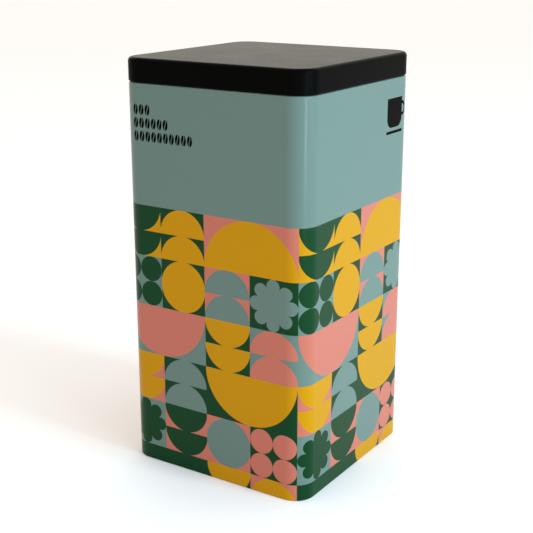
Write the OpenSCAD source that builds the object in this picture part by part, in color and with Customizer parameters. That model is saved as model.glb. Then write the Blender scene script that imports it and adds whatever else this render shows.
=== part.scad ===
// Square coffee tin: a tall printed tinplate body with a seamed-in base, a flush slip lid
// with a curled edge, and a press-in inner lid with a knob and a sealing ring.
// Origin at the centre of the foot ring, +Z up, the front of the print faces -Y.
// Every sweep goes round the same rounded square, so the corner arcs of all pieces are concentric.
// Profiles are drawn in X and Z with x = 0 on the centre line of those corner arcs.

/* [Body] */
// Width of the body across two flat sides
body_w = 100; // [90:1:120]
// Outer radius of the body's upright corners
corner_r = 10; // [9:0.5:13]
// Height of the whole tin with both lids on
tin_h = 198.5; // [150:0.5:220]
// Thickness of the tinplate
plate_t = 0.3; // [0.25:0.05:0.35]
// How far the neck under the lid is set in from the body's sides
neck_in = 1.5; // [1.4:0.1:1.6]
// Outer radius of the curl round the mouth
rim_curl_r = 0.9; // [0.7:0.05:1]
// Outer radius of the shoulder that the body turns in at
shoulder_r = 0.6; // [0.5:0.05:0.7]

/* [Base] */
// Height of the base panel's upper face above the surface that the tin stands on
base_z = 5; // [4:0.25:8]
// Height of the body's hem that is folded up inside the base panel's flange
hem_h = 3.2; // [2.5:0.1:3.5]
// Thickness of the sealing compound between the body and the base panel's flange
base_seal_t = 0.4; // [0.3:0.05:0.5]
// Height that the middle of the base panel is pressed up by
bead_h = 1.2; // [0.5:0.1:1.5]

/* [Outer lid] */
// Height of the outer lid
lid_h = 11; // [10:0.5:14]
// How far the lid's sides stand out past the body's sides
lid_proud = 0.1; // [0:0.05:0.2]
// Radius of the edge round the lid's top
lid_edge_r = 2; // [1:0.25:3]
// Outer radius of the curl round the lid's lower edge
lid_curl_r = 0.6; // [0.5:0.05:0.65]
// Gap between the lid's lower edge and the body's shoulder
lid_gap = 0.3; // [0.2:0.1:0.6]

/* [Inner lid] */
// Depth of the inner lid's pan below the rim of the mouth
pan_depth = 13; // [11:0.5:20]
// Outer bend radius where the pan's wall meets its floor
pan_bend_r = 1.8; // [1:0.1:3]
// Thickness of the sealing ring's upright leg
seal_leg_t = 0.6; // [0.5:0.05:0.8]
// Thickness of the sealing ring's flat leg under the pan's flange
seal_flat_t = 0.6; // [0.5:0.05:0.8]
// Height of the sealing ring's upright leg
seal_leg_h = 8; // [6:0.5:9]
// Radius of the sealing ring's lips
seal_lip_r = 0.25; // [0.15:0.05:0.3]
// Gap between the seal's lips and the mouth
mouth_play = 0.2; // [0.15:0.05:0.4]
// Diameter of the knob
knob_d = 22; // [16:1:30]
// Height of the knob
knob_h = 8.5; // [8:0.5:9]
// Diameter of the rivet's shank
rivet_d = 3; // [2:0.5:4]
// Diameter of the rivet's head
rivet_head_d = 7; // [6:0.5:9]

/* [Hidden] */

corner_fn = 96;
bend_fn = 32;
// play between pieces that rest on or fold round each other
fit_gap = 0.1;
// how far a cutting shape goes past the face it cuts
cut_past = 1;
// half the length of a flat side between two corner arcs
flat_half = body_w/2 - corner_r;

// heights
lid_z = tin_h - lid_h;
shoulder_z = lid_z - lid_gap;
flange_top_z = tin_h - plate_t - fit_gap;
flange_z = flange_top_z - plate_t;
rim_z = flange_z - seal_flat_t - fit_gap;
pan_floor_z = rim_z - pan_depth;

// how far the inner lid's flange stays inside the neck, and the seal inside the flange
flange_set_in = 0.2;
seal_set_in = 0.2;

// distances out from the corner arcs' centre line
wall_in = corner_r - plate_t;
neck_out = corner_r - neck_in;
mouth_edge = neck_out - 2*rim_curl_r;
lid_out = corner_r + lid_proud;
base_flange_out = wall_in - base_seal_t;
hem_in = base_flange_out - plate_t - fit_gap - plate_t;
lip_out = mouth_edge - mouth_play;
seal_out = lip_out - seal_lip_r;
pan_out = seal_out - seal_leg_t;
flange_out = neck_out - flange_set_in;

// sealing ring: height of the lower lip above the leg's end, and from lip to lip
seal_lip_low = 1.2;
seal_lip_pitch = 2.2;

// bends
neck_foot_r = 0.3;
foot_r = 0.5;
base_bend_r = 1;
flange_bend_r = 0.6;

// base panel bead: the middle of the panel is pressed up behind a sloping step
bead_out = corner_r/2;
bead_slope = 1.5;

// lock seam: the body sheet's folded joint, inside the back wall near one corner
seam_w = 4;
seam_t = 3*plate_t;
seam_from_corner = 3;
seam_end = 6;

// knob
knob_foot_d = 0.6*knob_d;
knob_waist_d = 0.45*knob_d;
knob_head_h = 4;
knob_foot_h = 1.2;
knob_dish_r = 22;
knob_dish_depth = 0.7;
rivet_head_h = 1;
rivet_shank_h = 5;

// ---- profile pieces ----

// flat stretch of metal from one corner of the profile to the other
module strip(x0, z0, x1, z1) {
    translate([x0, z0]) square([x1 - x0, z1 - z0]);
}

// bent stretch of metal of outer radius r round (x, z), over the quadrants in list q:
// 0 is up and out, 1 is up and in, 2 is down and in, 3 is down and out
module bend(x, z, r, q) {
    for (k = q)
        translate([x, z]) rotate(90*k) intersection() {
            difference() {
                circle(r = r, $fn = bend_fn);
                circle(r = r - plate_t, $fn = bend_fn);
            }
            square(r);
        }
}

// ---- sweeps ----

// sweeps a profile once round the rounded square
module ring() {
    for (k = [0:3])
        rotate([0, 0, 90*k]) translate([flat_half, flat_half, 0]) {
            rotate_extrude(angle = 90, $fn = corner_fn) children();
            rotate([90, 0, 0]) linear_extrude(2*flat_half) children();
        }
}

// flat plate with its edge the given distance outside the corner arcs' centres
module plate(edge, z, t) {
    translate([0, 0, z]) linear_extrude(t) {
        square([2*(flat_half + edge), 2*flat_half], center = true);
        square([2*flat_half, 2*(flat_half + edge)], center = true);
        for (sx = [-1, 1], sy = [-1, 1])
            translate([sx*flat_half, sy*flat_half]) circle(r = edge, $fn = corner_fn);
    }
}

// ---- sub-parts ----

// the printed sleeve: straight sides, a shoulder and neck under the lid, a curl round the
// mouth, and a hem folded in and up at the foot
module body_wall() {
    color([0.50, 0.66, 0.65]) {
        ring() {
            // hem and foot
            strip(hem_in, foot_r, hem_in + plate_t, hem_h);
            bend(hem_in + foot_r, foot_r, foot_r, [2]);
            strip(hem_in + foot_r, 0, corner_r - foot_r, plate_t);
            bend(corner_r - foot_r, foot_r, foot_r, [3]);
            // side
            strip(wall_in, foot_r, corner_r, shoulder_z - shoulder_r);
            // shoulder
            bend(corner_r - shoulder_r, shoulder_z - shoulder_r, shoulder_r, [0]);
            strip(neck_out + neck_foot_r, shoulder_z - plate_t, corner_r - shoulder_r, shoulder_z);
            bend(neck_out + neck_foot_r, shoulder_z + neck_foot_r, neck_foot_r + plate_t, [2]);
            // neck and rim curl
            strip(neck_out - plate_t, shoulder_z + neck_foot_r, neck_out, rim_z - rim_curl_r);
            bend(neck_out - rim_curl_r, rim_z - rim_curl_r, rim_curl_r, [0, 1, 2]);
        }
        translate([seam_from_corner - flat_half, flat_half + wall_in - seam_t, base_z + seam_end])
            cube([seam_w, seam_t, shoulder_z - shoulder_r - seam_end - base_z - seam_end]);
    }
}

// the base: a flange that the body's hem clasps, and a panel with its middle pressed up
module base_panel() {
    slope_in = bead_out - bead_slope;
    color([0.72, 0.71, 0.67]) {
        plate(slope_in, base_z + bead_h - plate_t, plate_t);
        ring() {
            polygon([[slope_in, base_z + bead_h], [slope_in, base_z + bead_h - plate_t],
                     [bead_out, base_z - plate_t], [bead_out, base_z]]);
            strip(bead_out, base_z - plate_t, base_flange_out - base_bend_r, base_z);
            bend(base_flange_out - base_bend_r, base_z - base_bend_r, base_bend_r, [0]);
            strip(base_flange_out - plate_t, plate_t + fit_gap,
                  base_flange_out, base_z - base_bend_r);
        }
    }
}

// sealing compound that fills the joint between the body and the base panel's flange
module base_seal_ring() {
    color([0.35, 0.33, 0.30])
        ring() strip(base_flange_out, plate_t + fit_gap, wall_in, base_z - base_bend_r);
}

// the outer lid: flat top, round edge, straight skirt and a curled lower edge
module outer_lid() {
    color([0.06, 0.06, 0.055]) {
        plate(lid_out - lid_edge_r, tin_h - plate_t, plate_t);
        ring() {
            bend(lid_out - lid_edge_r, tin_h - lid_edge_r, lid_edge_r, [0]);
            strip(lid_out - plate_t, lid_z + lid_curl_r, lid_out, tin_h - lid_edge_r);
            bend(lid_out - lid_curl_r, lid_z + lid_curl_r, lid_curl_r, [2, 3]);
        }
    }
}

// the inner lid: a pan that drops into the mouth, with a flange that rests over the rim
module inner_lid() {
    pan_low_z = pan_floor_z - plate_t;
    color([0.78, 0.77, 0.73])
        difference() {
            union() {
                plate(pan_out - pan_bend_r, pan_low_z, plate_t);
                ring() {
                    bend(pan_out - pan_bend_r, pan_low_z + pan_bend_r, pan_bend_r, [3]);
                    strip(pan_out - plate_t, pan_low_z + pan_bend_r,
                          pan_out, flange_top_z - flange_bend_r);
                    bend(pan_out - plate_t + flange_bend_r, flange_top_z - flange_bend_r,
                         flange_bend_r, [1]);
                    strip(pan_out - plate_t + flange_bend_r, flange_z, flange_out, flange_top_z);
                }
            }
            translate([0, 0, pan_low_z - cut_past])
                cylinder(d = rivet_d, h = plate_t + 2*cut_past, $fn = bend_fn);
        }
}

// the inner lid's silicone ring: a flat leg under the flange and an upright leg with lips
module inner_lid_seal() {
    seal_low_z = flange_z - seal_leg_h;
    inner_r = flange_bend_r - plate_t;
    color([0.86, 0.86, 0.83])
        ring() {
            strip(pan_out + inner_r, flange_z - seal_flat_t, flange_out - seal_set_in, flange_z);
            strip(pan_out, seal_low_z, seal_out, flange_z - inner_r);
            translate([pan_out + inner_r, flange_z - inner_r]) circle(r = inner_r, $fn = bend_fn);
            for (k = [0:1])
                translate([seal_out, seal_low_z + seal_lip_low + k*seal_lip_pitch])
                    circle(r = seal_lip_r, $fn = bend_fn);
        }
}

// the knob: a wide dished head on a waist and a foot, with a blind hole for the rivet
module inner_lid_knob() {
    edge_r = knob_head_h/2;
    head_z = knob_h - knob_head_h;
    color([0.09, 0.09, 0.09])
        translate([0, 0, pan_floor_z]) difference() {
            union() {
                cylinder(d = knob_foot_d, h = knob_foot_h, $fn = corner_fn);
                cylinder(d = knob_waist_d, h = head_z + edge_r, $fn = corner_fn);
                rotate_extrude($fn = corner_fn) {
                    strip(0, head_z, knob_d/2 - edge_r, knob_h);
                    translate([knob_d/2 - edge_r, head_z + edge_r])
                        intersection() {
                            circle(r = edge_r, $fn = bend_fn);
                            translate([0, -edge_r]) square([edge_r, 2*edge_r]);
                        }
                }
            }
            translate([0, 0, knob_h + knob_dish_r - knob_dish_depth])
                sphere(r = knob_dish_r, $fn = corner_fn);
            translate([0, 0, -cut_past])
                cylinder(d = rivet_d, h = rivet_shank_h + cut_past, $fn = bend_fn);
        }
}

// the rivet: a low round head under the pan and a shank up into the knob
module knob_rivet() {
    head_z = pan_floor_z - plate_t - rivet_head_h;
    color([0.70, 0.69, 0.66]) {
        translate([0, 0, head_z + rivet_head_h])
            cylinder(d = rivet_d, h = plate_t + rivet_shank_h, $fn = bend_fn);
        translate([0, 0, head_z]) rotate_extrude($fn = corner_fn) {
            strip(0, 0, rivet_head_d/2 - rivet_head_h, rivet_head_h);
            translate([rivet_head_d/2 - rivet_head_h, rivet_head_h])
                intersection() {
                    circle(r = rivet_head_h, $fn = bend_fn);
                    translate([0, -rivet_head_h]) square(rivet_head_h);
                }
        }
    }
}

body_wall();
base_panel();
base_seal_ring();
outer_lid();
inner_lid();
inner_lid_seal();
inner_lid_knob();
knob_rivet();
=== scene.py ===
"""Looks for the square coffee tin: the printed body, its lids, the stage, the light and the camera.

The body is one closed sheet of metal. Its outside is cut along the outlines of the print, so that
each printed colour is a set of faces with its own material. Lengths are in metres.
"""

import math

import bpy
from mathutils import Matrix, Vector
from mathutils.geometry import delaunay_2d_cdt


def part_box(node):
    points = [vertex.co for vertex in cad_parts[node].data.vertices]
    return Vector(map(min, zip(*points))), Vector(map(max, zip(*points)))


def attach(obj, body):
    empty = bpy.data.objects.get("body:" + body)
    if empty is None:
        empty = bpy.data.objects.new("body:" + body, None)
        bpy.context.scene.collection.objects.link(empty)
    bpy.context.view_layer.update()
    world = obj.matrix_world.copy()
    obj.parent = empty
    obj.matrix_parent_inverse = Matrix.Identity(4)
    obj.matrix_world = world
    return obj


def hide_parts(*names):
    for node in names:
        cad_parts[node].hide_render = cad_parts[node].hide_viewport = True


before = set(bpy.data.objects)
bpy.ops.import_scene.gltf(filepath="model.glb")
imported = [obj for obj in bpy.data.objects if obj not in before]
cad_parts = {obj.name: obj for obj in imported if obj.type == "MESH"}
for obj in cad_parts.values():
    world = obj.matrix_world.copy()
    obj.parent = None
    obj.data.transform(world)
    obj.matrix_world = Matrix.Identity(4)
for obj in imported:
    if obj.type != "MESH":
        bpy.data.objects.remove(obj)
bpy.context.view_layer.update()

MM = 0.001
MICRON = 0.001 * MM

# ---- sizes, from the frame and from the tinplate's own bends ----

body_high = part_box("body_wall")[1]
lid_low, lid_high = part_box("outer_lid")

CORNER_R = 10 * MM
PLATE = 0.3 * MM
LID_GAP = 0.3 * MM
SHOULDER_R = 0.6 * MM
NECK_IN = 1.5 * MM
NECK_FOOT_R = 0.3 * MM
RIM_R = 0.9 * MM
FOOT_R = 0.5 * MM
HEM_H = 3.2 * MM
HEM_W = 1.4 * MM
BEAD_H = 1.2 * MM

flat_half = body_high.x - CORNER_R
rim_z = body_high.z
shoulder_z = lid_low.z - LID_GAP
print_low = FOOT_R
print_high = shoulder_z - SHOULDER_R

ARC_LENGTH = CORNER_R * math.pi / 2
SIDE_LENGTH = 2 * flat_half
PERIMETER = 4 * (ARC_LENGTH + SIDE_LENGTH)
ARC_STEPS = 18

# ---- the print ----

# nearly square cells in four columns that repeat; the side seam cuts the last column short
CELL_W, CELL_H = 24.94 * MM, 24.49 * MM
PATTERN_TOP = 130.58 * MM
# the first column starts a little before the middle of the corner between front and right side
PATTERN_START = -1.62 * MM

BLUE, YELLOW, PINK, GREEN, BLACK, BARE_SEAM, BARE_INSIDE = range(7)

# each row holds four tiles, named by shape, figure colour and ground colour
ROWS = (
    (("bowls", GREEN, YELLOW), ("domes", YELLOW, GREEN),
     ("dome_left", YELLOW, PINK), ("dome_right", YELLOW, PINK)),
    (("dots", GREEN, BLUE), ("disc", YELLOW, GREEN),
     ("domes", BLUE, PINK), ("flower", BLUE, GREEN)),
    (("bowl_left", PINK, BLUE), ("bowl_right", PINK, BLUE),
     ("bowls", YELLOW, GREEN), ("domes", PINK, BLUE)),
    (("bowls", YELLOW, PINK), ("domes", BLUE, GREEN),
     ("bowl_left", YELLOW, GREEN), ("bowl_right", YELLOW, GREEN)),
    (("flower", GREEN, BLUE), ("bowls", GREEN, PINK),
     ("disc", BLUE, PINK), ("dots", PINK, GREEN)),
    (("plain", GREEN, GREEN), ("plain", GREEN, GREEN),
     ("bowls", YELLOW, GREEN), ("domes", YELLOW, PINK)),
)
COLUMNS = len(ROWS[0])

CURVE_STEPS = 24
# a little over half a cell, so that shapes run into each other where they touch
FIGURE_R = 0.508
DOT_R = 0.25
PETALS = 8
PETAL_R = 0.139
PETAL_OUT = 0.5 - PETAL_R
PETAL_STEPS = 16
FLOWER_CORE = 0.355


def arc(cx, cy, r, start, end, steps):
    """Points along an arc, angles in degrees."""
    return [
        (cx + r * math.cos(math.radians(a)), cy + r * math.sin(math.radians(a)))
        for a in (start + (end - start) * k / steps for k in range(steps + 1))
    ]


def flower_radius(angle):
    """Distance from the flower's middle to its edge, in cells."""
    pitch = 2 * math.pi / PETALS
    off = abs((angle + pitch / 2) % pitch - pitch / 2)
    reach = PETAL_R**2 - (PETAL_OUT * math.sin(off)) ** 2
    petal = PETAL_OUT * math.cos(off) + math.sqrt(reach) if reach > 0 else 0
    return max(petal, FLOWER_CORE)


def flower_outline():
    steps = PETALS * PETAL_STEPS
    angles = [2 * math.pi * k / steps for k in range(steps)]
    return [
        (0.5 + flower_radius(a) * math.cos(a), 0.5 + flower_radius(a) * math.sin(a)) for a in angles
    ]


# outlines in a unit cell, x to the right and y up; a bowl has its flat side up, a dome has it down
OUTLINES = {
    "bowls": [arc(0.5, y, FIGURE_R, 180, 360, CURVE_STEPS) for y in (0.5, 1.0)],
    "domes": [arc(0.5, y, FIGURE_R, 0, 180, CURVE_STEPS) for y in (0.0, 0.5)],
    "disc": [arc(0.5, 0.5, FIGURE_R, 0, 360, 2 * CURVE_STEPS)[:-1]],
    "dots": [
        arc(x, y, DOT_R, 0, 360, CURVE_STEPS)[:-1] for x in (DOT_R, 1 - DOT_R) for y in (DOT_R, 1 - DOT_R)
    ],
    "flower": [flower_outline()],
    "dome_left": [arc(1.0, 0.0, 1.0, 90, 180, CURVE_STEPS) + [(1.0, 0.0)]],
    "dome_right": [arc(0.0, 0.0, 1.0, 0, 90, CURVE_STEPS) + [(0.0, 0.0)]],
    "bowl_left": [arc(1.0, 1.0, 1.0, 180, 270, CURVE_STEPS) + [(1.0, 1.0)]],
    "bowl_right": [arc(0.0, 1.0, 1.0, 270, 360, CURVE_STEPS) + [(0.0, 1.0)]],
    "plain": [],
}


def inside(outline, x, y):
    """Whether a point is inside a closed outline."""
    hit = False
    for k in range(len(outline)):
        (x0, y0), (x1, y1) = outline[k - 1], outline[k]
        if (y0 > y) != (y1 > y) and x < x0 + (y - y0) * (x1 - x0) / (y1 - y0):
            hit = not hit
    return hit


BEAN_STEPS = 10
# half the gap between a bean's halves and how far the gap bends, as shares of the bean's width
BEAN_GAP, BEAN_BEND = 0.055, 0.12


def bean(x, y, w, h):
    """A plain coffee bean standing up: two half ovals with a bent gap between them."""
    levels = [math.cos(math.pi * k / BEAN_STEPS) for k in range(BEAN_STEPS + 1)][1:-1]
    seam = [BEAN_BEND * w * math.sin(math.pi * t) for t in levels]
    heights = [y + t * h / 2 for t in levels]
    rims = [w / 2 * math.sqrt(1 - t * t) for t in levels]
    halves = []
    for side in (-1, 1):
        half = [(x + bend + side * BEAN_GAP * w, z) for bend, z in zip(seam, heights)]
        half += [(x + side * rim, z) for rim, z in reversed(list(zip(rims, heights)))]
        halves.append(half)
    return halves


# three rows of beans at the front's upper left, longer towards the bottom
BEAN_W, BEAN_H = 2.85 * MM, 5.1 * MM
BEAN_PITCH, ROW_PITCH = 3.4 * MM, 6.1 * MM
BEAN_ROWS = (3, 6, 10)
beans_left = -(ARC_LENGTH / 2 + SIDE_LENGTH) - 3 * MM
beans_top = lid_low.z - 12.2 * MM

# a plain cup at the far end of the right side, running on round the back right corner
CUP_W, CUP_H = 15 * MM, 14 * MM
CUP_FOOT_R = 4.5 * MM
HANDLE_UP = 0.6 * CUP_H
HANDLE_R, HANDLE_T = 3.6 * MM, 1.5 * MM
SAUCER_DROP, SAUCER_R = 2.2 * MM, 0.7 * MM
cup_x = ARC_LENGTH / 2 + SIDE_LENGTH - 8.5 * MM
cup_z = lid_low.z - 23.6 * MM


def cup_outlines(x, y):
    """A plain cup seen from the side, with a ring handle and a saucer, its foot at (x, y)."""
    left, right, lip = x - CUP_W / 2, x + CUP_W / 2, y + CUP_H
    bowl = [(left, lip), (left, y + CUP_FOOT_R)]
    bowl += arc(left + CUP_FOOT_R, y + CUP_FOOT_R, CUP_FOOT_R, 180, 270, 8)
    bowl += arc(right - CUP_FOOT_R, y + CUP_FOOT_R, CUP_FOOT_R, 270, 360, 8)
    bowl += [(right, lip)]
    handle = arc(right, y + HANDLE_UP, HANDLE_R, -90, 90, 12)
    handle += arc(right, y + HANDLE_UP, HANDLE_R - HANDLE_T, 90, -90, 12)
    saucer = arc(left, y - SAUCER_DROP, SAUCER_R, 90, 270, 6)
    saucer += arc(right, y - SAUCER_DROP, SAUCER_R, -90, 90, 6)
    return [bowl, handle, saucer]


black_marks = []
for row, count in enumerate(BEAN_ROWS):
    for k in range(count):
        x, z = beans_left + (k + 0.5) * BEAN_PITCH, beans_top - row * ROW_PITCH
        black_marks += bean(x, z, BEAN_W, BEAN_H)
black_marks += cup_outlines(cup_x, cup_z)


def tile_at(s, z):
    """The tile at a place on the print, and the place within its cell; None above the pattern."""
    row = math.floor((PATTERN_TOP - z) / CELL_H)
    if row < 0:
        return None, 0, 0
    across = (s - PATTERN_START) / CELL_W
    column = math.floor(across)
    return ROWS[row][column % COLUMNS], across - column, 1 - ((PATTERN_TOP - z) / CELL_H - row)


def colour_at(s, z):
    """The printed colour at arc length s round the body and height z."""
    tile, x, y = tile_at(s, z)
    if tile:
        shape, figure, ground = tile
        return figure if any(inside(o, x, y) for o in OUTLINES[shape]) else ground
    return BLACK if any(inside(o, s, z) for o in black_marks) else BLUE


# ---- the rounded square that everything follows ----


def station(s):
    """At arc length s from the middle of the front right corner: a point on the corner arcs'
    centre line and the outward direction there."""
    turn, rest = divmod(s + ARC_LENGTH / 2, ARC_LENGTH + SIDE_LENGTH)
    quarter = math.pi / 2
    angle = turn * quarter - quarter + min(rest / ARC_LENGTH, 1) * quarter
    along = max(rest - ARC_LENGTH, 0)
    base = turn * quarter
    cx, cy = flat_half, -flat_half + along
    centre = (cx * math.cos(base) - cy * math.sin(base), cx * math.sin(base) + cy * math.cos(base))
    return centre, (math.cos(angle), math.sin(angle))


def on_wall(s, out, z):
    (cx, cy), (nx, ny) = station(s)
    return (cx + nx * out, cy + ny * out, z)


corner_stations = [
    turn * (ARC_LENGTH + SIDE_LENGTH) - ARC_LENGTH / 2 + ARC_LENGTH * k / ARC_STEPS
    for turn in range(4)
    for k in range(ARC_STEPS + 1)
]

# the sheet's side seam, in the back near the back left corner
SEAM_W = 4 * MM
SEAM_T = 3 * PLATE
SEAM_FROM_CORNER = 5 * MM
SEAM_END = 6 * MM
# the seam's folds are pressed down to this share of their thickness at its two ends
SEAM_END_SHARE = 0.25
seam_s = ARC_LENGTH / 2 + SIDE_LENGTH + ARC_LENGTH + SIDE_LENGTH - SEAM_FROM_CORNER
# the print's left edge on the flat sheet, and how wide the bare metal is along both side edges
sheet_s = seam_s - PERIMETER
SEAM_LINE = 0.12 * MM


class Builder:
    """Collects vertices with their normals, joining those at the same place, and faces."""

    def __init__(self):
        self.index, self.points, self.normals = {}, [], []
        self.faces, self.slots = [], []

    def vertex(self, point, normal):
        key = tuple(round(c * 1e7) for c in point)
        if key not in self.index:
            self.index[key] = len(self.points)
            self.points.append(point)
            self.normals.append(normal)
        return self.index[key]

    def face(self, corners, slot):
        if len(set(corners)) == len(corners):
            self.faces.append(corners)
            self.slots.append(slot)

    def make(self, name, materials):
        mesh = bpy.data.meshes.new(name)
        mesh.from_pydata(self.points, [], self.faces)
        for material in materials:
            mesh.materials.append(material)
        mesh.polygons.foreach_set("material_index", self.slots)
        mesh.polygons.foreach_set("use_smooth", [True] * len(self.faces))
        mesh.validate()
        mesh.normals_split_custom_set_from_vertices(self.normals)
        piece = bpy.data.objects.new(name, mesh)
        bpy.context.scene.collection.objects.link(piece)
        return piece


def profile_normals(profile):
    """The outward normal at each point of a profile that runs with its metal on the right."""
    normals = []
    for k, here in enumerate(profile):
        total = Vector((0, 0))
        for a, b in ((profile[max(k - 1, 0)], here), (here, profile[min(k + 1, len(profile) - 1)])):
            step = Vector((b[0] - a[0], b[1] - a[1]))
            if step.length > CUT_CLOSE:
                total += Vector((-step.y, step.x)).normalized()
        normals.append(total.normalized() if total.length > 0 else Vector((1, 0)))
    return normals


def wall_profile():
    """The body sheet's section from the print's lower edge down round the foot and hem, up the
    inside, over the rim and back down to the print's upper edge, with its metal on the right;
    how many steps the printed foot takes, and the step that the printed shoulder starts at."""
    neck = CORNER_R - NECK_IN
    hem = CORNER_R - HEM_W
    foot_x, hem_x = CORNER_R - FOOT_R, hem + FOOT_R
    shoulder_x, shoulder_low = CORNER_R - SHOULDER_R, shoulder_z - SHOULDER_R
    neck_x, neck_low = neck + NECK_FOOT_R, shoulder_z + NECK_FOOT_R
    rim_x, rim_mid = neck - RIM_R, rim_z - RIM_R
    tip = PLATE / 2
    points = arc(foot_x, FOOT_R, FOOT_R, 0, -90, 6) + arc(hem_x, FOOT_R, FOOT_R, -90, -180, 6)
    foot = len(points) - 1
    points += arc(hem + tip, HEM_H - tip, tip, 180, 0, 6)
    points += arc(hem_x, FOOT_R, FOOT_R - PLATE, 180, 270, 6)
    points += arc(foot_x, FOOT_R, FOOT_R - PLATE, 270, 360, 6)
    points += arc(shoulder_x, shoulder_low, SHOULDER_R - PLATE, 0, 90, 6)
    points += arc(neck_x, neck_low, NECK_FOOT_R + PLATE, 270, 180, 6)
    points += arc(rim_x, rim_mid, RIM_R - PLATE, 0, 270, 18)
    points += arc(rim_x, rim_mid - RIM_R + tip, tip, 90, -90, 6)[1:-1]
    points += arc(rim_x, rim_mid, RIM_R, 270, 0, 24)
    points += arc(neck_x, neck_low, NECK_FOOT_R, 180, 270, 6)
    shoulder = len(points)
    points += arc(shoulder_x, shoulder_low, SHOULDER_R, 90, 0, 6)
    return points, foot, shoulder


# steps and stretches shorter than these count as none
NO_STEP, NO_STRETCH = 1e-12, 1e-9


def clipped(a, b):
    """The stretch of a segment inside the unrolled print between its bare edges, or None."""
    low, high = 0.0, 1.0
    for k, (least, most) in enumerate(((SEAM_LINE, PERIMETER - SEAM_LINE), (print_low, print_high))):
        step = b[k] - a[k]
        if abs(step) < NO_STEP:
            if not least <= a[k] <= most:
                return None
            continue
        t = sorted(((least - a[k]) / step, (most - a[k]) / step))
        low, high = max(low, t[0]), min(high, t[1])
    if high - low < NO_STRETCH:
        return None
    return [(a[0] + (b[0] - a[0]) * t, a[1] + (b[1] - a[1]) * t) for t in (low, high)]


def print_outlines():
    """Every outline of the print as open runs of points (arc length from the seam, height)."""
    runs = []
    for row in range(len(ROWS) + 1):
        z = PATTERN_TOP - row * CELL_H
        runs.append([(0, z), (PERIMETER, z)])
    first = math.floor((sheet_s - PATTERN_START) / CELL_W)
    last = math.floor((seam_s - PATTERN_START) / CELL_W)
    for column in range(first, last + 1):
        left = PATTERN_START + column * CELL_W - sheet_s
        runs.append([(left, 0), (left, PATTERN_TOP)])
        for row, tiles in enumerate(ROWS):
            bottom = PATTERN_TOP - (row + 1) * CELL_H
            for outline in OUTLINES[tiles[column % COLUMNS][0]]:
                loop = outline + outline[:1]
                runs.append([(left + x * CELL_W, bottom + y * CELL_H) for x, y in loop])
    for outline in black_marks:
        runs.append([(x - sheet_s, z) for x, z in outline + outline[:1]])
    return runs


# the body's materials, in the order of the colours' numbers
SHEET_SLOTS = (
    "print_blue", "print_yellow", "print_pink", "print_green", "print_black", "bare_seam", "bare_inside",
)
# points of the cut print nearer than this are one point
CUT_CLOSE = 2e-4 * MM


def cut_print():
    """The unrolled print as points (arc length from the seam, height) and triangles, cut along its
    outlines, and the arc lengths of the points along its lower and upper edges."""
    upright = {0.0, SEAM_LINE, PERIMETER - SEAM_LINE, PERIMETER}
    upright |= {(s - sheet_s) % PERIMETER for s in corner_stations}
    pieces = [((u, print_low), (u, print_high)) for u in upright]
    for run in print_outlines():
        pieces += [piece for piece in (clipped(a, b) for a, b in zip(run, run[1:])) if piece]
    border = set(upright)
    # the first cut finds where outlines meet the edges; the second has those places on both edges
    for _ in range(2):
        lines = []
        for u in sorted(border):
            if not lines or u - lines[-1] > CUT_CLOSE:
                lines.append(u)
        edges = list(pieces)
        for z in (print_low, print_high):
            edges += [((a, z), (b, z)) for a, b in zip(lines, lines[1:])]
        points = [Vector(p) / MM for edge in edges for p in edge]
        found = delaunay_2d_cdt(
            points, [(2 * k, 2 * k + 1) for k in range(len(edges))], [], 0, CUT_CLOSE / MM, False
        )
        corners = [(v.x * MM, v.y * MM) for v in found[0]]
        on_edge = [u for u, z in corners if min(z - print_low, print_high - z) < CUT_CLOSE]
        border |= {u for u in on_edge if min(abs(u - line) for line in lines) > CUT_CLOSE}
    return corners, found[2], lines


def printed_body(materials):
    """The body sheet as one closed mesh whose outside is cut along the print's outlines."""
    corners, triangles, lines = cut_print()
    sheet = Builder()

    def put(u, out, z, tilt):
        nearest = min(lines, key=lambda line: abs(line - u))
        u = nearest if abs(nearest - u) < CUT_CLOSE else u
        s = sheet_s + u
        _, (nx, ny) = station(s)
        return sheet.vertex(on_wall(s, out, z), (nx * tilt[0], ny * tilt[0], tilt[1]))

    def slot_at(u, z):
        return BARE_SEAM if min(u, PERIMETER - u) < SEAM_LINE else colour_at(sheet_s + u, z)

    ids = [put(u, CORNER_R, z, (1.0, 0.0)) for u, z in corners]
    for triangle in triangles:
        u = sum(corners[k][0] for k in triangle) / 3
        z = sum(corners[k][1] for k in triangle) / 3
        sheet.face([ids[k] for k in triangle], slot_at(u, z))

    profile, foot, shoulder = wall_profile()
    tilts = profile_normals(profile)
    rings = [[put(u, out, z, tilts[j]) for u in lines] for j, (out, z) in enumerate(profile)]
    for j, (a, b) in enumerate(zip(rings, rings[1:])):
        for i in range(len(lines) - 1):
            u = (lines[i] + lines[i + 1]) / 2
            slot = BARE_INSIDE
            if j < foot:
                slot = slot_at(u, print_low + CUT_CLOSE)
            elif j >= shoulder:
                slot = slot_at(u, print_high)
            sheet.face([b[i], b[i + 1], a[i + 1], a[i]], slot)
    return sheet.make("printed_body", [materials[name] for name in SHEET_SLOTS])


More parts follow.
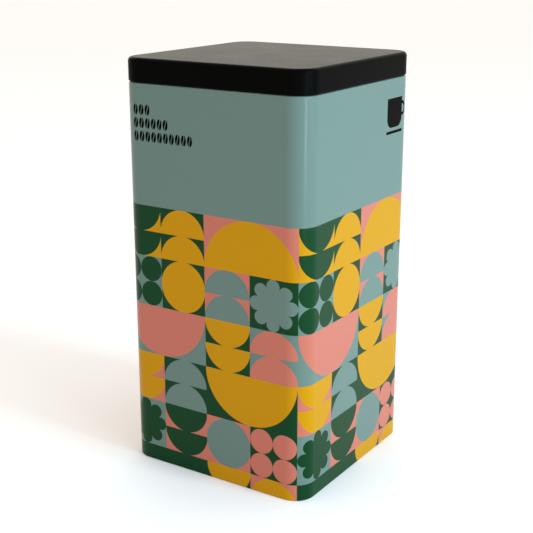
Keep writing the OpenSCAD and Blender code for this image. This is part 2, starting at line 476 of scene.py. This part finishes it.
def side_seam(material):
    """The folded joint inside the back wall: three thicknesses of sheet with rounded folds."""
    r = SEAM_T / 2
    inner = body_high.y - PLATE
    middle = -flat_half + SEAM_FROM_CORNER
    left, right = middle - SEAM_W / 2 + r, middle + SEAM_W / 2 - r
    fold, fold_r = middle + SEAM_W / 4, PLATE / 3
    outline = [(x, inner - r + y) for x, y in arc(left, 0, r, 90, 270, 10)]
    outline += [(x, inner - SEAM_T + y) for x, y in arc(fold, 0, fold_r, 180, 0, 6)]
    outline += [(x, inner - r + y) for x, y in arc(right, 0, r, -90, 90, 10)]
    base_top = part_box("base_panel")[1].z
    low, high = base_top + SEAM_END - BEAD_H, print_high - SEAM_END
    levels = [(low, SEAM_END_SHARE), (low + r, 1.0), (high - r, 1.0), (high, SEAM_END_SHARE)]
    strip = Builder()
    rings = []
    for z, share in levels:
        ring = []
        for k, (x, y) in enumerate(outline):
            before, after = Vector(outline[k - 1]), Vector(outline[(k + 1) % len(outline)])
            along = (after - before).normalized()
            depth = inner - (inner - y) * share
            ring.append(strip.vertex((x, depth, z), (along.y, -along.x, 0)))
        rings.append(ring)
    count = len(outline)
    for a, b in zip(rings, rings[1:]):
        for k in range(count):
            strip.face([a[k], a[(k + 1) % count], b[(k + 1) % count], b[k]], 0)
    strip.face(rings[0][::-1], 0)
    strip.face(rings[-1], 0)
    return strip.make("side_seam", [material])


# ---- materials ----


def principled(name, **sockets):
    """A material with its constant values set on the shader's own sockets."""
    material = bpy.data.materials.new(name)
    material.use_nodes = True
    shader = material.node_tree.nodes["Principled BSDF"]
    for socket, value in sockets.items():
        shader.inputs[socket.replace("_", " ")].default_value = value
    return material, shader


def noise(material, scale, detail=3.0, stretch=(1, 1, 1)):
    """Noise in the object's own coordinates, with scale in lumps per metre."""
    tree = material.node_tree
    place = tree.nodes.new("ShaderNodeTexCoord")
    mapping = tree.nodes.new("ShaderNodeMapping")
    mapping.inputs["Scale"].default_value = stretch
    texture = tree.nodes.new("ShaderNodeTexNoise")
    texture.inputs["Scale"].default_value = scale
    texture.inputs["Detail"].default_value = detail
    tree.links.new(place.outputs["Object"], mapping.inputs["Vector"])
    tree.links.new(mapping.outputs["Vector"], texture.inputs["Vector"])
    return texture.outputs["Fac"]


def spread(material, source, low, high, start=0.3, end=0.7):
    """source stretched from start..end to low..high."""
    node = material.node_tree.nodes.new("ShaderNodeMapRange")
    for socket, value in (("From Min", start), ("From Max", end), ("To Min", low), ("To Max", high)):
        node.inputs[socket].default_value = value
    material.node_tree.links.new(source, node.inputs["Value"])
    return node.outputs["Result"]


def add(material, a, b):
    node = material.node_tree.nodes.new("ShaderNodeMath")
    node.operation = "ADD"
    material.node_tree.links.new(a, node.inputs[0])
    material.node_tree.links.new(b, node.inputs[1])
    return node.outputs["Value"]


def bump(material, shader, source, depth):
    """Relief of the given depth in metres from a 0 to 1 source."""
    node = material.node_tree.nodes.new("ShaderNodeBump")
    node.inputs["Distance"].default_value = depth
    node.inputs["Strength"].default_value = 1.0
    material.node_tree.links.new(source, node.inputs["Height"])
    material.node_tree.links.new(node.outputs["Normal"], shader.inputs["Normal"])


def printed(name, colour, gloss=0.15, rough=0.21):
    """Printed and varnished tinplate: even ink under a satin varnish with faint flow marks."""
    material, shader = principled(name, Base_Color=(*colour, 1), Specular_IOR_Level=gloss)
    haze = spread(material, noise(material, 45, 4.0), -0.02, 0.02)
    rub = spread(material, noise(material, 260, 2.0, (1, 1, 0.08)), rough - 0.03, rough + 0.03)
    material.node_tree.links.new(add(material, haze, rub), shader.inputs["Roughness"])
    bump(material, shader, noise(material, 900, 2.0), 4 * MICRON)
    return material


def lacquered(name, colour, rough):
    """Stoved black lacquer: satin, with a fine orange peel and faint cloudy patches in its roughness."""
    material, shader = principled(name, Base_Color=(*colour, 1), Specular_IOR_Level=0.018)
    cloud = spread(material, noise(material, 60, 5.0), -0.012, 0.015)
    peel = spread(material, noise(material, 700, 3.0), rough - 0.03, rough + 0.03)
    material.node_tree.links.new(add(material, cloud, peel), shader.inputs["Roughness"])
    bump(material, shader, noise(material, 1100, 2.0), 3 * MICRON)
    return material


def mottled(material, shader, source, dark, bright, start, end):
    """Base colour that runs from dark to bright as source runs from start to end."""
    ramp = material.node_tree.nodes.new("ShaderNodeValToRGB")
    for element, place, colour in zip(ramp.color_ramp.elements, (start, end), (dark, bright)):
        element.position = place
        element.color = (*colour, 1)
    material.node_tree.links.new(source, ramp.inputs["Fac"])
    material.node_tree.links.new(ramp.outputs["Color"], shader.inputs["Base Color"])


def tinplate(name, bright, dark, rough, stretch):
    """Bare tinned steel under clear varnish, with the rolling grain along one axis."""
    material, shader = principled(name, Metallic=1.0, Coat_Weight=0.3, Coat_Roughness=0.15)
    grain = noise(material, 500, 4.0, stretch)
    mottled(material, shader, noise(material, 30, 4.0), dark, bright, 0.3, 0.7)
    roughness = spread(material, grain, rough - 0.07, rough + 0.08)
    material.node_tree.links.new(roughness, shader.inputs["Roughness"])
    bump(material, shader, grain, 3 * MICRON)
    return material


# how much darker the dark parts of a moulded piece's mottling are
MOTTLE_DARK = 0.88


def moulded(name, colour, rough, **sockets):
    """Moulded plastic, silicone or compound with a fine matt texture and faint mottling."""
    material, shader = principled(name, **sockets)
    dark = [MOTTLE_DARK * c for c in colour]
    mottled(material, shader, noise(material, 80, 4.0), dark, colour, 0.25, 0.75)
    texture = noise(material, 1400, 3.0)
    roughness = spread(material, texture, rough - 0.05, rough + 0.06)
    material.node_tree.links.new(roughness, shader.inputs["Roughness"])
    bump(material, shader, texture, 8 * MICRON)
    return material


UPRIGHT_GRAIN, LEVEL_GRAIN = (1, 1, 0.03), (0.03, 1, 1)
TIN_BRIGHT, TIN_DARK = (0.66, 0.63, 0.56), (0.50, 0.48, 0.43)

materials = {
    "print_blue": printed("print_blue", (0.110, 0.172, 0.149)),
    "print_yellow": printed("print_yellow", (0.465, 0.220, 0.001), 0.07),
    "print_pink": printed("print_pink", (0.452, 0.131, 0.091)),
    "print_green": printed("print_green", (0.001, 0.036, 0.009), 0.1),
    "print_black": printed("print_black", (0.002, 0.002, 0.0015), 0.012),
    "bare_seam": tinplate("bare_seam", TIN_BRIGHT, TIN_DARK, 0.37, UPRIGHT_GRAIN),
    "bare_inside": tinplate("bare_inside", TIN_BRIGHT, TIN_DARK, 0.37, UPRIGHT_GRAIN),
    "tin_floor": tinplate("tin_floor", TIN_BRIGHT, TIN_DARK, 0.36, LEVEL_GRAIN),
    "black_lacquer": lacquered("black_lacquer", (0.0012, 0.0012, 0.001), 0.34),
    "compound": moulded("compound", (0.13, 0.12, 0.11), 0.7),
    "silicone": moulded(
        "silicone", (0.72, 0.71, 0.67), 0.5, Subsurface_Weight=0.1, Subsurface_Radius=(0.002, 0.002, 0.0018)
    ),
    "black_plastic": moulded("black_plastic", (0.014, 0.014, 0.014), 0.34),
}

for node, name in (
    ("outer_lid", "black_lacquer"),
    ("base_panel", "tin_floor"),
    ("base_seal_ring", "compound"),
    ("inner_lid", "tin_floor"),
    ("inner_lid_seal", "silicone"),
    ("inner_lid_knob", "black_plastic"),
    ("knob_rivet", "bare_inside"),
):
    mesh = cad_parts[node].data
    mesh.materials.clear()
    mesh.materials.append(materials[name])

body = printed_body(materials)
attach(body, "tin")
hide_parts("body_wall")

seam = side_seam(materials["bare_inside"])
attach(seam, "tin")
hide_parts("body_wall")


# ---- stage, light and camera ----

FLOOR_REACH = 30.0
floor_mesh = bpy.data.meshes.new("floor")
floor_corners = [(x * FLOOR_REACH, y * FLOOR_REACH, 0) for x, y in ((-1, -1), (1, -1), (1, 1), (-1, 1))]
floor_mesh.from_pydata(floor_corners, [], [(0, 1, 2, 3)])
floor_material, floor_shader = principled(
    "floor", Base_Color=(0.885, 0.865, 0.85, 1), Specular_IOR_Level=0.0
)
floor_material.node_tree.links.new(
    spread(floor_material, noise(floor_material, 3.0), 0.85, 0.95), floor_shader.inputs["Roughness"]
)
floor_mesh.materials.append(floor_material)
floor = bpy.data.objects.new("floor", floor_mesh)
bpy.context.scene.collection.objects.link(floor)


def aim(thing, place, target):
    thing.location = place
    thing.rotation_euler = (Vector(target) - Vector(place)).to_track_quat("-Z", "Y").to_euler()


def area_light(name, place, size, power, colour, target=(0, 0, 0.1)):
    data = bpy.data.lights.new(name, "AREA")
    data.shape = "RECTANGLE"
    data.size, data.size_y = size
    data.energy = power
    data.color = colour
    light = bpy.data.objects.new(name, data)
    bpy.context.scene.collection.objects.link(light)
    aim(light, place, target)
    return light


area_light("key", (1.2, 0.0, 0.62), size=(0.35, 1.2), power=14, colour=(0.6, 0.97, 1.2))
# a low soft panel beside the camera, which the near corner mirrors as an upright band
PANEL_Z = 0.16
panel = area_light(
    "panel", (0.65, -0.27, PANEL_Z), size=(0.12, 0.3), power=1.2,
    colour=(0.9, 1.0, 1.05), target=(0, 0, PANEL_Z),
)
panel.visible_camera = False

world = bpy.data.worlds.new("studio")
bpy.context.scene.world = world
world.use_nodes = True
sky = world.node_tree


def towards(direction, start, end):
    """How far the sky's own direction points towards the given one: 0 at cosine start, 1 at end."""
    where = sky.nodes.new("ShaderNodeTexCoord")
    dot = sky.nodes.new("ShaderNodeVectorMath")
    dot.operation = "DOT_PRODUCT"
    dot.inputs[1].default_value = Vector(direction).normalized()
    blend = sky.nodes.new("ShaderNodeMapRange")
    blend.interpolation_type = "SMOOTHSTEP"
    blend.inputs["From Min"].default_value, blend.inputs["From Max"].default_value = start, end
    sky.links.new(where.outputs["Generated"], dot.inputs[0])
    sky.links.new(dot.outputs["Value"], blend.inputs["Value"])
    return blend.outputs["Result"]


OVERHEAD, LOW_BEHIND = (-0.15, 0.45, 0.88), (-0.53, 0.79, 0.34)

# a pale room, brightest overhead and behind the tin
room = sky.nodes["Background"]
shade = sky.nodes.new("ShaderNodeValToRGB")
shade.color_ramp.elements[0].color = (0.72, 0.67, 0.63, 1)
shade.color_ramp.elements[1].color = (1.1, 1.1, 1.1, 1)
sky.links.new(towards(OVERHEAD, -0.5, 0.9), shade.inputs["Fac"])
sky.links.new(shade.outputs["Color"], room.inputs["Color"])
# a warm window low down behind the tin, which the lid's top mirrors
window = sky.nodes.new("ShaderNodeBackground")
window.inputs["Color"].default_value = (0.68, 0.59, 0.4, 1)
sky.links.new(towards(LOW_BEHIND, 0.6, 0.95), window.inputs["Strength"])
both = sky.nodes.new("ShaderNodeAddShader")
sky.links.new(room.outputs["Background"], both.inputs[0])
sky.links.new(window.outputs["Background"], both.inputs[1])
sky.links.new(both.outputs["Shader"], sky.nodes["World Output"].inputs["Surface"])

CAMERA_AZIMUTH, CAMERA_ELEVATION = 33.04, 16.67
CAMERA_DISTANCE = 0.54
CAMERA_VIEW = 27.536
AIM_X, AIM_Y = -1.6 * MM, -0.9 * MM
# the height the camera aims at, as a share of the tin's
AIM_UP = 0.4742

azimuth, elevation = math.radians(CAMERA_AZIMUTH), math.radians(CAMERA_ELEVATION)
target = Vector((AIM_X, AIM_Y, AIM_UP * lid_high.z))
back = Vector((
    math.sin(azimuth) * math.cos(elevation), -math.cos(azimuth) * math.cos(elevation), math.sin(elevation)
))
camera = bpy.data.objects.new("camera", bpy.data.cameras.new("camera"))
bpy.context.scene.collection.objects.link(camera)
camera.data.sensor_width = 36
camera.data.angle = math.radians(CAMERA_VIEW)
camera.data.clip_start = 0.01
aim(camera, target + back * CAMERA_DISTANCE, target)
bpy.context.scene.camera = camera

bpy.context.scene.view_settings.view_transform = "Standard"
